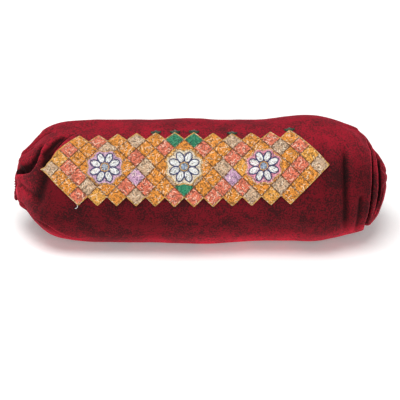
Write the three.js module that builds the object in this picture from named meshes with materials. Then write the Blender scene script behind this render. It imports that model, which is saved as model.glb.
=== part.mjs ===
// A padded velvet bag for a ram's horn: a soft tube lying on its side, gathered to a
// narrow mouth at the left, tucked into ring folds at its closed right end, with an
// embroidered band of diamonds and rosettes on its front.
// Millimetres, +X along the bag from mouth to closed end, -Y its front, +Z up.
import * as THREE from "three";
import { ParametricGeometry } from "three/addons/geometries/ParametricGeometry.js";
import { mergeVertices } from "three/addons/utils/BufferGeometryUtils.js";

// Driving sizes of the velvet tube.
const bodyLength = 455;
const bodyDepth = 160;
const bodyHeight = 142;
const wallThickness = 3;
const flattening = 1.06;
const floorBlend = 2.5;
const mostTuck = 15;

// Driving sizes of the mouth's rolled hem.
const casingLength = 5.5;
const casingWall = 7;
const casingInset = 0.8;
const gatherDepth = 1.2;
const gatherCount = 12;

// Driving sizes of the embroidery.
const bandLength = 344;
const bandHeight = 96;
const bandCentre = -21;
const bandTurn = 42;
const bandThickness = 1.4;
const diamondColumns = 15;
const diamondRows = 4;
const rosetteWidth = 47;
const rosetteSpacing = 94.3;
const rosetteThickness = 1.2;
const rosettePetals = 8;
const petalNotch = 0.12;

// Clearances, and how finely the cloth is cut into facets.
const seatGap = 0.3;
const clothGap = 0.45;
const facetsRound = 46;
const casingFacets = 8;
const diamondCuts = 2;
const degree = Math.PI / 180;

// The tube's sections, from the mouth to the closed end. along is a share of the
// body's length, girth of its full section, lift of its height. cuts is the number
// of facets from this section to the next.
const sections = [
  { along: 0, girth: 0.215, lift: -0.05, cuts: 2 },
  { along: 0.008, girth: 0.42, lift: -0.008, cuts: 2 },
  { along: 0.022, girth: 0.51, lift: 0.004, cuts: 2 },
  { along: 0.041, girth: 0.64, lift: 0.008, cuts: 2 },
  { along: 0.057, girth: 0.73, lift: 0.006, cuts: 2 },
  { along: 0.074, girth: 0.815, lift: 0.003, cuts: 2 },
  { along: 0.098, girth: 0.89, lift: 0, cuts: 2 },
  { along: 0.131, girth: 0.94, lift: 0, cuts: 2 },
  { along: 0.18, girth: 0.968, lift: 0, cuts: 2 },
  { along: 0.278, girth: 0.985, lift: 0, cuts: 2 },
  { along: 0.441, girth: 1.012, lift: 0, cuts: 2 },
  { along: 0.54, girth: 1.0, lift: -0.004, cuts: 2 },
  { along: 0.638, girth: 0.985, lift: 0.004, cuts: 2 },
  { along: 0.736, girth: 1.0, lift: 0.024, cuts: 2 },
  { along: 0.801, girth: 1.012, lift: 0.027, cuts: 2 },
  { along: 0.85, girth: 0.96, lift: 0.027, cuts: 2 },
  { along: 0.886, girth: 0.9, lift: 0.02, cuts: 2 },
  { along: 0.918, girth: 0.83, lift: 0.005, cuts: 2 },
  { along: 0.943, girth: 0.728, lift: -0.022, cuts: 2 },
  { along: 0.959, girth: 0.6, lift: -0.042, cuts: 2 },
  { along: 0.975, girth: 0.478, lift: -0.046, cuts: 2 },
  { along: 0.989, girth: 0.318, lift: -0.03, cuts: 2 },
  { along: 0.997, girth: 0.155, lift: -0.006, cuts: 1 },
  { along: 1, girth: 0, lift: 0.004, cuts: 0 },
];

// Creases where the cloth is drawn in. Each runs from, through and to a place given as
// a share of the body's length and a turn in degrees round it, from the front up.
// deep and wide are shares of the body's height.
const creases = [
  // Front of the mouth end, as seen from the front.
  { from: [0.006, 64], via: [0.019, 54], to: [0.046, 40], deep: 0.1, wide: 0.04 },
  { from: [0.036, 40], via: [0.05, 56], to: [0.072, 79], deep: 0.1, wide: 0.036 },
  { from: [0.07, 50], via: [0.095, 66], to: [0.142, 86], deep: 0.085, wide: 0.036 },
  { from: [0.056, 12], via: [0.07, 33], to: [0.086, 58], deep: 0.035, wide: 0.07 },
  { from: [0.003, -8], via: [0.03, -34], to: [0.16, -46], deep: 0.05, wide: 0.03 },
  // Gathers round the rest of the mouth.
  { from: [0.002, 18], via: [0.02, 12], to: [0.045, 4], deep: 0.03, wide: 0.03 },
  { from: [0.002, 100], via: [0.03, 104], to: [0.085, 112], deep: 0.05, wide: 0.035 },
  { from: [0.002, 132], via: [0.04, 134], to: [0.12, 128], deep: 0.07, wide: 0.04 },
  { from: [0.002, 162], via: [0.03, 166], to: [0.09, 172], deep: 0.06, wide: 0.035 },
  { from: [0.002, 192], via: [0.04, 196], to: [0.13, 192], deep: 0.07, wide: 0.04 },
  { from: [0.002, 222], via: [0.03, 226], to: [0.1, 232], deep: 0.06, wide: 0.035 },
  { from: [0.002, 254], via: [0.03, 258], to: [0.09, 256], deep: 0.05, wide: 0.035 },
  { from: [0.002, 290], via: [0.03, 288], to: [0.08, 284], deep: 0.05, wide: 0.035 },
  // Ring folds of the closed end.
  { from: [0.95, 124], via: [0.97, 45], to: [0.948, -50], deep: 0.085, wide: 0.03 },
  { from: [0.976, 104], via: [0.99, 41], to: [0.97, -30], deep: 0.06, wide: 0.026 },
  { from: [0.887, 66], via: [0.888, 18], to: [0.892, -32], deep: 0.035, wide: 0.045 },
  { from: [0.919, 12], via: [0.918, -16], to: [0.914, -44], deep: 0.022, wide: 0.035 },
  { from: [0.952, 148], via: [0.966, 190], to: [0.95, 238], deep: 0.06, wide: 0.035 },
  { from: [0.93, 170], via: [0.935, 205], to: [0.93, 245], deep: 0.035, wide: 0.04 },
  { from: [0.972, 250], via: [0.985, 190], to: [0.976, 140], deep: 0.045, wide: 0.028 },
];

const casingRed = 0x8e1c2e;
const velvetRed = 0x8a1a2c;
const threadGold = 0xd9953a;
const threadWhite = 0xe4e2da;

// A smooth curve through one column of the section table, against its row number.
function tableCurve(column) {
  const points = sections.map((row, index) => new THREE.Vector2(index, row[column]));
  return new THREE.SplineCurve(points);
}

const curves = {
  along: tableCurve("along"),
  girth: tableCurve("girth"),
  lift: tableCurve("lift"),
};
const lastRow = sections.length - 1;

function columnAt(column, row) {
  return curves[column].getPoint(row / lastRow).y;
}

// The row number, with its fraction, where the table reaches a share of the length.
function rowAt(along) {
  let low = 0;
  let high = lastRow;
  const halvings = 30;
  for (let n = 0; n < halvings; n++) {
    const middle = (low + high) / 2;
    if (columnAt("along", middle) < along) low = middle;
    else high = middle;
  }
  return (low + high) / 2;
}

// A height that comes to rest on a floor without a corner.
function restOn(floor, height) {
  const above = height - floor;
  if (above >= floorBlend) return height;
  if (above <= -floorBlend) return floor;
  return floor + (above + floorBlend) ** 2 / (4 * floorBlend);
}

// One section of the tube before its folds: round above, fuller below where it sags.
const upperPower = 1.0;
const lowerPower = 0.87;
function signedPower(value, power) {
  return Math.sign(value) * Math.abs(value) ** power;
}

function smoothPoint(row, turn) {
  const girth = Math.max(columnAt("girth", row), 0);
  const rise = Math.sin(turn * degree);
  const reach = Math.cos(turn * degree);
  const power = rise >= 0 ? upperPower : lowerPower;
  const fullness = rise >= 0 ? 1 : flattening;
  const centre = bodyHeight * (0.5 + columnAt("lift", row));
  return new THREE.Vector3(
    bodyLength * columnAt("along", row),
    (-bodyDepth / 2) * girth * signedPower(reach, power),
    centre + (bodyHeight / 2) * girth * fullness * signedPower(rise, power),
  );
}

// The outward direction of the smooth tube.
const probe = 0.05;
const probeTurn = 0.5;
function outward(row, turn) {
  const back = smoothPoint(Math.max(row - probe, 0), turn);
  const ahead = smoothPoint(Math.min(row + probe, lastRow), turn);
  const below = smoothPoint(row, turn - probeTurn);
  const above = smoothPoint(row, turn + probeTurn);
  const lengthwise = ahead.sub(back);
  const round = above.sub(below);
  if (round.length() < 1e-6) return new THREE.Vector3(1, 0, 0);
  return lengthwise.cross(round).normalize();
}

// Each crease as a chain of short lines on the smooth tube.
const creaseSteps = 8;
const creaseLines = creases.map((crease) => {
  const route = new THREE.QuadraticBezierCurve(
    new THREE.Vector2(...crease.from),
    new THREE.Vector2(...crease.via),
    new THREE.Vector2(...crease.to),
  );
  const points = route.getPoints(creaseSteps).map((p) => smoothPoint(rowAt(p.x), p.y));
  return {
    deep: crease.deep * bodyHeight,
    wide: crease.wide * bodyHeight,
    lines: points.slice(1).map((point, n) => new THREE.Line3(points[n], point)),
  };
});

// How far the creases draw the cloth in at a point, with the ends of each faded out.
const fadeIn = 0.2;
const fadeOut = 0.35;
const creaseRound = 0.25;
function tuckAt(point) {
  const nearest = new THREE.Vector3();
  let tuck = 0;
  for (const { deep, wide, lines } of creaseLines) {
    let best = Infinity;
    let share = 0;
    lines.forEach((line, n) => {
      const along = line.closestPointToPointParameter(point, true);
      const distance = line.at(along, nearest).distanceTo(point);
      if (distance < best) {
        best = distance;
        share = (n + along) / lines.length;
      }
    });
    const fade =
      THREE.MathUtils.smoothstep(share, 0, fadeIn) *
      (1 - THREE.MathUtils.smoothstep(share, 1 - fadeOut, 1));
    const soft = creaseRound * wide;
    const away = Math.sqrt(best * best + soft * soft) - soft;
    tuck += deep * fade * Math.exp(-away / wide);
  }
  return mostTuck * (1 - Math.exp(-tuck / mostTuck));
}

// A point on the folded cloth, out millimetres proud of its face.
function clothPoint(row, turn, out = 0) {
  const point = smoothPoint(row, turn);
  const offset = out - tuckAt(point);
  point.addScaledVector(outward(row, turn), offset);
  point.z = restOn(Math.max(-out, 0), point.z);
  return point;
}

// Joins the seams of a surface whose rows and columns meet, and drops empty facets.
function closeUp(geometry) {
  geometry.deleteAttribute("normal");
  geometry.deleteAttribute("uv");
  const merged = mergeVertices(geometry, 1e-3);
  const { array } = merged.index;
  const kept = [];
  for (let n = 0; n < array.length; n += 3) {
    const [a, b, c] = [array[n], array[n + 1], array[n + 2]];
    if (a !== b && b !== c && c !== a) kept.push(a, b, c);
  }
  merged.setIndex(kept);
  merged.computeVertexNormals();
  return merged;
}

function fabric(color, roughness) {
  return new THREE.MeshStandardMaterial({ color, roughness, metalness: 0 });
}

function namedMesh(name, geometry, material) {
  const mesh = new THREE.Mesh(geometry, material);
  mesh.name = name;
  return mesh;
}

// The turn in degrees of a share of the way round, cut to the facets' corners.
function turnOf(share) {
  const facet = Math.round(share * facetsRound) % facetsRound;
  return 360 * (1 - facet / facetsRound);
}

// The velvet tube: the outer face from mouth to closed end, then the lining back again.
function velvetBody() {
  const stations = [];
  sections.forEach(({ cuts }, index) => {
    for (let n = 0; n < cuts; n++) stations.push(index + n / cuts);
  });
  stations.push(lastRow);
  const outside = stations.map((row) => ({ row, out: 0 }));
  const inside = stations.map((row) => ({ row, out: -wallThickness })).reverse();
  const loop = [...outside, ...inside, outside[0]];
  const surface = (u, v, target) => {
    const { row, out } = loop[Math.round(v * (loop.length - 1))];
    const turn = turnOf(u);
    target.copy(clothPoint(row, turn, out));
  };
  const geometry = new ParametricGeometry(surface, facetsRound, loop.length - 1);
  return namedMesh("velvet_body", closeUp(geometry), fabric(velvetRed, 0.85));
}

// The rolled hem that is gathered round the mouth and sewn to the body's edge.
function mouthCasing() {
  const surface = (u, v, target) => {
    const turn = turnOf(u);
    const roll = 2 * Math.PI * (Math.round(v * casingFacets) % casingFacets) / casingFacets;
    const edge = smoothPoint(0, turn);
    const centre = new THREE.Vector3(0, 0, bodyHeight * (0.5 + columnAt("lift", 0)));
    const radial = edge.clone().sub(centre);
    const radius = radial.length();
    const gather = gatherDepth * Math.cos(gatherCount * turn * degree);
    const thick = casingWall / 2 + gather * Math.cos(roll / 2) ** 2;
    const away = radius - casingInset + thick * Math.cos(roll);
    target.copy(centre).addScaledVector(radial.normalize(), away);
    target.x = -seatGap - (casingLength / 2) * (1 - Math.sin(roll));
  };
  const geometry = new ParametricGeometry(surface, facetsRound, casingFacets);
  return namedMesh("mouth_casing", closeUp(geometry), fabric(casingRed, 0.85));
}

// A place on the embroidery: p along the bag and q up its front, from the band's middle.
const meanRadius = (bodyDepth + bodyHeight) / 4;
function onFront(p, q, out) {
  const along = 0.5 + (bandCentre + p) / bodyLength;
  const turn = bandTurn + q / meanRadius / degree;
  return clothPoint(rowAt(along), turn, out);
}

// A thin slab on the cloth, made of cells that share corners, between two heights.
function slabOf(cells, low, high) {
  const corners = new Map();
  const positions = [];
  const indices = [];
  const edges = new Map();
  const cornerKey = ([p, q]) => `${p.toFixed(3)},${q.toFixed(3)}`;
  const cornerOf = (place) => {
    const key = cornerKey(place);
    if (!corners.has(key)) {
      corners.set(key, positions.length / 3);
      positions.push(...onFront(...place, high).toArray());
      positions.push(...onFront(...place, low).toArray());
    }
    return corners.get(key);
  };
  for (const cell of cells) {
    const ring = cell.map(cornerOf);
    for (let n = 1; n < ring.length - 1; n++) {
      indices.push(ring[0], ring[n], ring[n + 1]);
      indices.push(ring[0] + 1, ring[n + 1] + 1, ring[n] + 1);
    }
    ring.forEach((start, n) => {
      const end = ring[(n + 1) % ring.length];
      const twin = `${end},${start}`;
      if (edges.has(twin)) edges.delete(twin);
      else edges.set(`${start},${end}`, [start, end]);
    });
  }
  for (const [start, end] of edges.values()) {
    indices.push(start, start + 1, end + 1);
    indices.push(start, end + 1, end);
  }
  const geometry = new THREE.BufferGeometry();
  geometry.setAttribute("position", new THREE.Float32BufferAttribute(positions, 3));
  geometry.setIndex(indices);
  geometry.computeVertexNormals();
  return geometry;
}

// The band's diamonds in interlocked lines, stepped in to a point at both ends.
const halfWidth = bandLength / diamondColumns / 2;
const halfHeight = bandHeight / diamondRows / 2;
function diamondCentres() {
  const centres = [];
  const lastLine = 2 * diamondRows - 2;
  for (let line = 0; line <= lastLine; line++) {
    const q = (line - lastLine / 2) * halfHeight;
    const count = diamondColumns - Math.abs(line - lastLine / 2);
    for (let n = 0; n < count; n++) {
      centres.push([(n - (count - 1) / 2) * 2 * halfWidth, q]);
    }
  }
  return centres;
}

function embroideredBand() {
  const cells = [];
  const partWidth = halfWidth / diamondCuts;
  const partHeight = halfHeight / diamondCuts;
  for (const [p, q] of diamondCentres()) {
    for (let up = 0; up < diamondCuts; up++) {
      for (let down = 0; down < diamondCuts; down++) {
        const left = p - halfWidth + (up + down) * partWidth;
        const level = q + (up - down) * partHeight;
        cells.push([
          [left, level],
          [left + partWidth, level - partHeight],
          [left + 2 * partWidth, level],
          [left + partWidth, level + partHeight],
        ]);
      }
    }
  }
  const geometry = slabOf(cells, clothGap, clothGap + bandThickness);
  return namedMesh("embroidered_band", geometry, fabric(threadGold, 0.6));
}

// A raised rosette with a notched edge, one lobe for each petal.
const rosetteRing = 0.5;
const pointsPerPetal = 4;
function rosette(name, centre) {
  const low = clothGap + bandThickness + seatGap;
  const count = rosettePetals * pointsPerPetal;
  const place = (share, n) => {
    const angle = (2 * Math.PI * (n % count)) / count;
    const notch = 1 - petalNotch * Math.cos((rosettePetals * angle) / 2) ** 2;
    const radius = (rosetteWidth / 2) * share * notch;
    return [centre + radius * Math.cos(angle), radius * Math.sin(angle)];
  };
  const cells = [];
  for (let n = 0; n < count; n++) {
    cells.push([[centre, 0], place(rosetteRing, n), place(rosetteRing, n + 1)]);
    cells.push([
      place(rosetteRing, n),
      place(1, n),
      place(1, n + 1),
      place(rosetteRing, n + 1),
    ]);
  }
  const geometry = slabOf(cells, low, low + rosetteThickness);
  return namedMesh(name, geometry, fabric(threadWhite, 0.6));
}

const bag = new THREE.Group();
bag.add(velvetBody());
bag.add(mouthCasing());
bag.add(embroideredBand());
bag.add(rosette("rosette_left", -rosetteSpacing));
bag.add(rosette("rosette_centre", 0));
bag.add(rosette("rosette_right", rosetteSpacing));

// The origin is on the surface the bag lies on, under the middle of its box.
const middle = new THREE.Box3().setFromObject(bag).getCenter(new THREE.Vector3());
bag.position.set(-middle.x, -middle.y, 0);

export default bag;
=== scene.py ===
import math
import random
import bmesh
import bpy
import numpy as np
from mathutils import Matrix, Vector, noise
from mathutils.bvhtree import BVHTree


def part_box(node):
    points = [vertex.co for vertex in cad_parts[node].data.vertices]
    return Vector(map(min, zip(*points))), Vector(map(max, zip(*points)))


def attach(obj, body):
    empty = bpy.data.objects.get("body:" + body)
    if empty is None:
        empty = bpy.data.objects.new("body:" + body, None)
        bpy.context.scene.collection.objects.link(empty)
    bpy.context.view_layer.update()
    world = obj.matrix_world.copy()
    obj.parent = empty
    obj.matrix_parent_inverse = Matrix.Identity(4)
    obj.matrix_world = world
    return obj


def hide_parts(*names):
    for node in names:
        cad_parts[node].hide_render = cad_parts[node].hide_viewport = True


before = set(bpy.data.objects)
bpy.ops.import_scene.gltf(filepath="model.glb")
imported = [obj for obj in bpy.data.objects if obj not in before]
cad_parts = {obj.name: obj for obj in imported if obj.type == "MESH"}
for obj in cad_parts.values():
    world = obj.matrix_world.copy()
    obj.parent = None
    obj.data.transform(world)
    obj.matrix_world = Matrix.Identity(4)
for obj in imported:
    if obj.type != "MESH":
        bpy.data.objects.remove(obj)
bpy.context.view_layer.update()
scene = bpy.context.scene
mm = 0.001
chance = random.Random(11)
weldWithin = 1e-5


# small helpers

def linearColour(hexColour):  # an sRGB hex value as the linear colour that the shaders want
    parts = [int(hexColour[n:n + 2], 16) / 255 for n in (1, 3, 5)]
    return tuple(p / 12.92 if p <= 0.04045 else ((p + 0.055) / 1.055) ** 2.4 for p in parts) + (1.0,)


def addNode(tree, kind, inputs=None, **settings):
    node = tree.nodes.new(kind)
    for name, value in settings.items():
        setattr(node, name, value)
    for name, value in (inputs or {}).items():
        if isinstance(value, bpy.types.NodeSocket):
            tree.links.new(value, node.inputs[name])
        else:
            node.inputs[name].default_value = value
    return node


def newMaterial(name, settings):
    material = bpy.data.materials.new(name)
    material.use_nodes = True
    tree = material.node_tree
    shader = tree.nodes["Principled BSDF"]
    for socket, value in settings.items():
        shader.inputs[socket].default_value = value
    return material, tree, shader


def finishPiece(bm, name, material):  # turns a bmesh into a piece of the bag
    mesh = bpy.data.meshes.new(name)
    bm.to_mesh(mesh)
    bm.free()
    return dressMesh(mesh, name, material)


def dressMesh(mesh, name, material):
    mesh.polygons.foreach_set("use_smooth", np.ones(len(mesh.polygons), bool))
    mesh.materials.append(material)
    piece = bpy.data.objects.new(name, mesh)
    scene.collection.objects.link(piece)
    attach(piece, "root")
    return piece


def smoothStep(value, low, high):
    t = np.clip((value - low) / (high - low), 0, 1)
    return t * t * (3 - 2 * t)


def smoothCurve(before, here, after, beyond, t):  # from here to after, bent to suit their neighbours
    return 0.5 * (
        2 * here + (after - before) * t
        + (2 * before - 5 * here + 4 * after - beyond) * t ** 2
        + (3 * here - before - 3 * after + beyond) * t ** 3
    )


# the tube of cloth, with the same sizes and sections as the solids, in metres
tube = {
    "length": 0.455,
    "depth": 0.160,
    "height": 0.142,
    "sag": 1.06,  # how much fuller the underside is
    "lowerPower": 0.87,  # below 1 it squares the underside's corners
    "floorBlend": 0.0025,
    "wall": 0.003,
}

# share of the length, share of the full girth, lift of the middle as a share of the height
sections = [
    (0.0, 0.215, -0.05), (0.008, 0.42, -0.008), (0.022, 0.51, 0.004), (0.041, 0.64, 0.008),
    (0.057, 0.73, 0.006), (0.074, 0.815, 0.003), (0.098, 0.89, 0.0), (0.131, 0.94, 0.0),
    (0.18, 0.968, 0.0), (0.278, 0.985, 0.0), (0.441, 1.012, 0.0), (0.54, 1.0, -0.004),
    (0.638, 0.985, 0.004), (0.736, 1.0, 0.024), (0.801, 1.012, 0.027), (0.85, 0.96, 0.027),
    (0.886, 0.9, 0.02), (0.918, 0.83, 0.005), (0.943, 0.728, -0.022), (0.959, 0.6, -0.042),
    (0.975, 0.478, -0.046), (0.989, 0.318, -0.03), (0.997, 0.155, -0.006), (1.0, 0.0, 0.004),
]
lastRow = len(sections) - 1
widestGirth = max(section[1] for section in sections)
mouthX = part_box("velvet_body")[0].x
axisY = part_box("velvet_body")[1].y - tube["depth"] / 2 * widestGirth
hemHeight = tube["height"] * (0.5 + sections[0][2])
hemRadius = sections[0][1] * (tube["depth"] + tube["height"]) / 4


def throughTable(column, rows):  # a smooth curve through one column of the sections
    values = np.array([section[column] for section in sections])
    rows = np.clip(rows, 0, lastRow)
    start = np.minimum(rows.astype(int), lastRow - 1)
    before = values[np.maximum(start - 1, 0)]
    beyond = values[np.minimum(start + 2, lastRow)]
    return smoothCurve(before, values[start], values[start + 1], beyond, rows - start)


fineRows = np.linspace(0, lastRow, 6000)
fineAlong = throughTable(0, fineRows)


def rowAt(along):
    return np.interp(along, fineAlong, fineRows)


def tubeMiddle(rows):
    return tube["height"] * (0.5 + throughTable(2, rows))


def smoothTube(rows, turns):  # turns in radians, 0 at the front and a quarter turn at the top
    girth = np.maximum(throughTable(1, rows), 0)
    rise, reach = np.sin(turns), np.cos(turns)
    power = np.where(rise < 0, tube["lowerPower"], 1)
    fullness = np.where(rise < 0, tube["sag"], 1)
    middle = tubeMiddle(rows)
    x = mouthX + tube["length"] * throughTable(0, rows)
    y = axisY - tube["depth"] / 2 * girth * np.sign(reach) * np.abs(reach) ** power
    z = middle + tube["height"] / 2 * girth * fullness * np.sign(rise) * np.abs(rise) ** power
    return np.stack([x, y, z], axis=-1)


def outward(rows, turns):  # the smooth tube's normals, from its slopes along and round the bag
    rowStep, turnStep = 0.05, math.radians(0.5)
    lengthwise = smoothTube(np.minimum(rows + rowStep, lastRow), turns)
    lengthwise = lengthwise - smoothTube(np.maximum(rows - rowStep, 0), turns)
    tip = lastRow - 0.01  # past this the closed end has no girth to measure
    rows = np.minimum(rows, tip)
    crosswise = smoothTube(rows, turns + turnStep) - smoothTube(rows, turns - turnStep)
    normal = np.cross(lengthwise, crosswise)
    normal[rows >= tip] = (1, 0, 0)
    return normal / np.maximum(np.linalg.norm(normal, axis=-1, keepdims=True), 1e-12)


def restOn(heights, floor=0.0):  # cloth comes down to the floor without a corner
    above = heights - floor
    blend = tube["floorBlend"]
    eased = floor + (above + blend) ** 2 / (4 * blend)
    return np.where(above >= blend, heights, np.where(above <= -blend, floor, eased))


# Each fold's route is given as shares of the length and degrees round the tube. A valley is
# drawn in on both sides. A lap has a lip, so the cloth on its right stands over that on its
# left, and "over" is how far it slides there. Depths and widths are millimetres. An open fold
# starts at full depth, and a radial one is drawn towards the tube's middle line. "fadeIn" and
# "fadeFrom" are shares of the route, and "shade" is how much painted shade the fold lays on
# the pile. A lap's lip also gets a painted highlight along its crest.
folds = [
    # mouth end, in front
    {"route": [(0.0, 66), (0.006, 44), (0.02, 38.5), (0.036, 37.5), (0.05, 39.5), (0.061, 47),
               (0.069, 56), (0.0745, 65), (0.084, 77)],
     "deep": 16.5, "wide": 8.8, "lip": 2.8, "lipWide": 8, "over": 1.4, "open": True, "fadeFrom": 0.84},
    {"route": [(0.0, 58), (0.014, 52), (0.03, 49), (0.044, 51), (0.058, 61)],
     "deep": 9.0, "wide": 6.0, "open": True},
    {"route": [(0.044, 49), (0.0515, 57), (0.058, 64), (0.063, 70.5), (0.068, 78)],
     "deep": 12.0, "wide": 4.4, "shade": 1.2, "fadeFrom": 0.8},
    {"route": [(0.079, 55), (0.0862, 61.5), (0.0974, 68), (0.111, 76), (0.125, 82), (0.14, 87)],
     "deep": 10.0, "wide": 3.6, "shade": 1.2},
    {"route": [(0.084, 42), (0.09, 48), (0.106, 56), (0.12, 62.5), (0.132, 69), (0.153, 80), (0.182, 91)],
     "deep": 16.5, "wide": 6.6, "lip": 3.0, "lipWide": 6.5, "over": 1.4},
    {"route": [(0.112, 60), (0.099, 49), (0.086, 36), (0.073, 18), (0.062, 0), (0.056, -12)],
     "deep": 6.5, "wide": 10.5},
    {"route": [(0.21, -46), (0.16, -38), (0.12, -29), (0.0944, -22), (0.0639, -23),
               (0.04, -30), (0.018, -36), (0.006, -30), (0.0, -5)],
     "deep": 10.0, "wide": 5.2, "lip": 2.4, "lipWide": 8, "over": 2.0},
    {"route": [(0.0, 26), (0.012, 20), (0.034, 12), (0.066, 2)], "deep": 3.0, "wide": 4, "open": True},
    {"route": [(0.015, 92), (0.05, 96), (0.09, 97), (0.14, 95), (0.22, 92), (0.32, 92)],
     "deep": 6.6, "wide": 24, "shade": 0},
    # closed end, in front
    {"route": [(0.915, 158), (0.918, 126), (0.937, 107), (0.946, 93), (0.949, 61),
               (0.947, 20), (0.9405, -8), (0.9335, -31), (0.935, -60), (0.94, -100)],
     "deep": 15.0, "wide": 5.2, "lip": 2.2, "lipWide": 8, "over": 1.6, "radial": True, "fadeIn": 0.34},
    {"route": [(0.956, 122), (0.96, 104), (0.966, 82), (0.9685, 42), (0.9665, 8), (0.957, -16),
               (0.941, -42)],
     "deep": 15.0, "wide": 7.6, "lip": 2.4, "lipWide": 3.6, "over": 1.0, "radial": True, "fadeIn": 0.36},
    {"route": [(0.982, 14), (0.977, -6), (0.967, -24), (0.955, -40), (0.94, -56)],
     "deep": 7.0, "wide": 3.0, "lip": 1.8, "lipWide": 3.0, "over": 0.6, "radial": True},
    {"route": [(0.879, 70), (0.8785, 44), (0.879, 18), (0.8795, -6), (0.8815, -30), (0.884, -54)],
     "deep": 6.5, "wide": 5.0, "fadeFrom": 0.66},
    {"route": [(0.9222, 14), (0.9165, -14), (0.9101, -50)], "deep": 5.0, "wide": 4.4, "shade": 1.2},
    {"route": [(0.9, 84), (0.912, 64), (0.93, 52)], "deep": 1.8, "wide": 6},
    {"route": [(0.9, 112), (0.925, 96), (0.948, 78)], "deep": 3.0, "wide": 13, "shade": 0},
    # beside the embroidery
    {"route": [(0.822, 74), (0.8268, 38), (0.8268, 0)], "deep": 2.4, "wide": 6},
    {"route": [(0.34, 88), (0.44, 94), (0.52, 96), (0.64, 93)], "deep": 1.8, "wide": 4},
    {"route": [(0.5, 84), (0.6, 87), (0.7, 84)], "deep": 1.2, "wide": 5},
    {"route": [(0.6, -24), (0.7, -20), (0.8, -28)], "deep": 2.6, "wide": 12},
    {"route": [(0.18, -14), (0.3, -22), (0.44, -18)], "deep": 1.6, "wide": 11},
    {"route": [(0.25, 94), (0.5, 94), (0.8, 95), (0.95, 96)], "deep": 1.3, "wide": 30, "shade": 0},
    # tucks round the hidden side of the closed end
    {"route": [(0.952, 150), (0.964, 188), (0.95, 236)], "deep": 8.0, "wide": 4.4},
    {"route": [(0.972, 140), (0.983, 185), (0.974, 242)], "deep": 6.0, "wide": 3.6},
    {"route": [(0.93, 166), (0.936, 200), (0.93, 240)], "deep": 3.0, "wide": 4.5},
    {"route": [(0.945, 232), (0.953, 262), (0.946, 292)], "deep": 6.0, "wide": 4.0},
]

# gathers round the hidden side of the mouth: turn, where they end along the bag, depth, width
gathers = [
    (86, 0.05, 5.0, 3.6), (101, 0.11, 6.5, 4.2), (116, 0.07, 5.0, 3.6), (131, 0.14, 7.5, 4.8),
    (147, 0.08, 5.5, 3.8), (162, 0.12, 7.0, 4.4), (177, 0.07, 5.0, 3.6), (193, 0.15, 7.5, 4.6),
    (208, 0.08, 5.5, 3.8), (224, 0.12, 6.5, 4.4), (240, 0.07, 5.0, 3.6), (256, 0.09, 5.0, 4.0),
    (272, 0.06, 4.0, 3.6), (288, 0.08, 4.5, 3.8), (304, 0.05, 3.5, 3.4), (334, 0.04, 2.5, 3.4),
]
for turn, reach, deep, wide in gathers:
    route = [(0.001, turn), (reach * 0.4, turn + 2.5), (reach, turn + chance.uniform(-5, 7))]
    folds.append({"route": route, "deep": deep, "wide": wide})

puckers = 7  # round the middle of the closed end
for n in range(puckers):
    turn = n * 360 / puckers + chance.uniform(-9, 9)
    folds.append({"route": [(0.9995, turn), (0.993, turn + 4), (0.976, turn + 8)], "deep": 2.2, "wide": 3.4})

cloth = {
    "deepest": 17.0,  # millimetres, past which a fold can't be drawn in
    "deepestRadial": 0.45,  # the same for a radial fold, as a share of the way to the middle line
    "creaseEdge": 0.9,  # how round the bottom of a fold is
    "fadeIn": 0.18,
    "fadeFrom": 0.72,
    "lipPower": 1.4,  # how squarely a lip stands up
    "undercut": 0.7,  # how far the cloth under a lip draws back
    "crestAt": 0.8, "crestSpread": 6,  # where a lip's painted highlight lies beside the crease, and how wide it spreads
    "dents": [(70, 1.6), (28, 0.7), (11, 0.22)],  # size and depth of the soft unevenness
    "mouthHold": 6.0,  # the hem holds the folds shut this close to the mouth
    "flatMouth": 12.0, "mouthBulge": 0.8,  # this close to the mouth the cloth bulges no further past it
    "fineEnds": (0.14, 0.84),  # shares of the length where the finer rings end and begin again
    "endRing": 1.35,  # spacing of the mesh's rings at the gathered ends
    "middleRing": 2.3,
    "facetsRound": 240,
    "liningRings": 56,
    "liningWiden": 1.8,  # the lining follows the folds more loosely
}

# painted light and shade on the pile, by turn and by share of the length: lighter on top, a painted highlight
# along the lower rim, painted shade on the lower front and the back
paintedLight = {
    "turns": [-90, -62, -50, -40, -28, -12, 0, 15, 32, 45, 58, 72, 90, 130, 165, 200, 225, 240, 270],
    "tones": [1.1, 2.3, 2.8, 2.0, 1.0, 0.6, 0.66, 0.6, 0.58, 0.7,
              1.04, 1.32, 1.4, 1.3, 0.95, 0.7, 0.9, 1.6, 1.1],
    "along": [0.1, 0.3, 0.38, 0.46, 0.58, 0.7, 0.85, 0.93],
    "lowTones": [0.85, 0.85, 0.9, 1.1, 1.12, 1.02, 0.94, 1.05],
    "highTones": [1.02, 1.0, 0.97, 0.92, 0.96, 0.92, 0.9, 0.98],
    "highFrom": (-0.1, 0.8),  # sines of the turn, between which low tones give way to high ones
    # painted highlight at both ends of the bag
    "ends": [0, 0.045, 0.085, 0.935, 0.958, 1],
    "endTones": [1.9, 1.3, 0.4, 0.4, 1.9, 2.3],
    "endShade": 0.65,  # painted shade on the closed end above its middle
    "endShadeAlong": (0.9, 0.93), "endShadeRise": (-0.5, 0.2),
    "endMiddle": (0.99, 1), "endMiddleShade": 0.5,  # the middle of the closed end is even
    "creaseShadeBy": (1.0, 8.0),  # millimetres of fold from which, and at which, the painted shade in the fold begins and is full
    # how dark the painted shade in deep folds gets, and how bright the painted highlight on a lip's crest is
    "creaseShade": 0.92, "crestHighlight": 0.85,
}


def foldRoute(points, steps=7):  # a smooth line through the points of a route
    line = []
    for n in range(len(points) - 1):
        near = (points[max(n - 1, 0)], points[n], points[n + 1], points[min(n + 2, len(points) - 1)])
        for step in range(steps):
            line.append([smoothCurve(*four, step / steps) for four in zip(*near)])
    line.append(list(points[-1]))
    return np.array(line)


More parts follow.
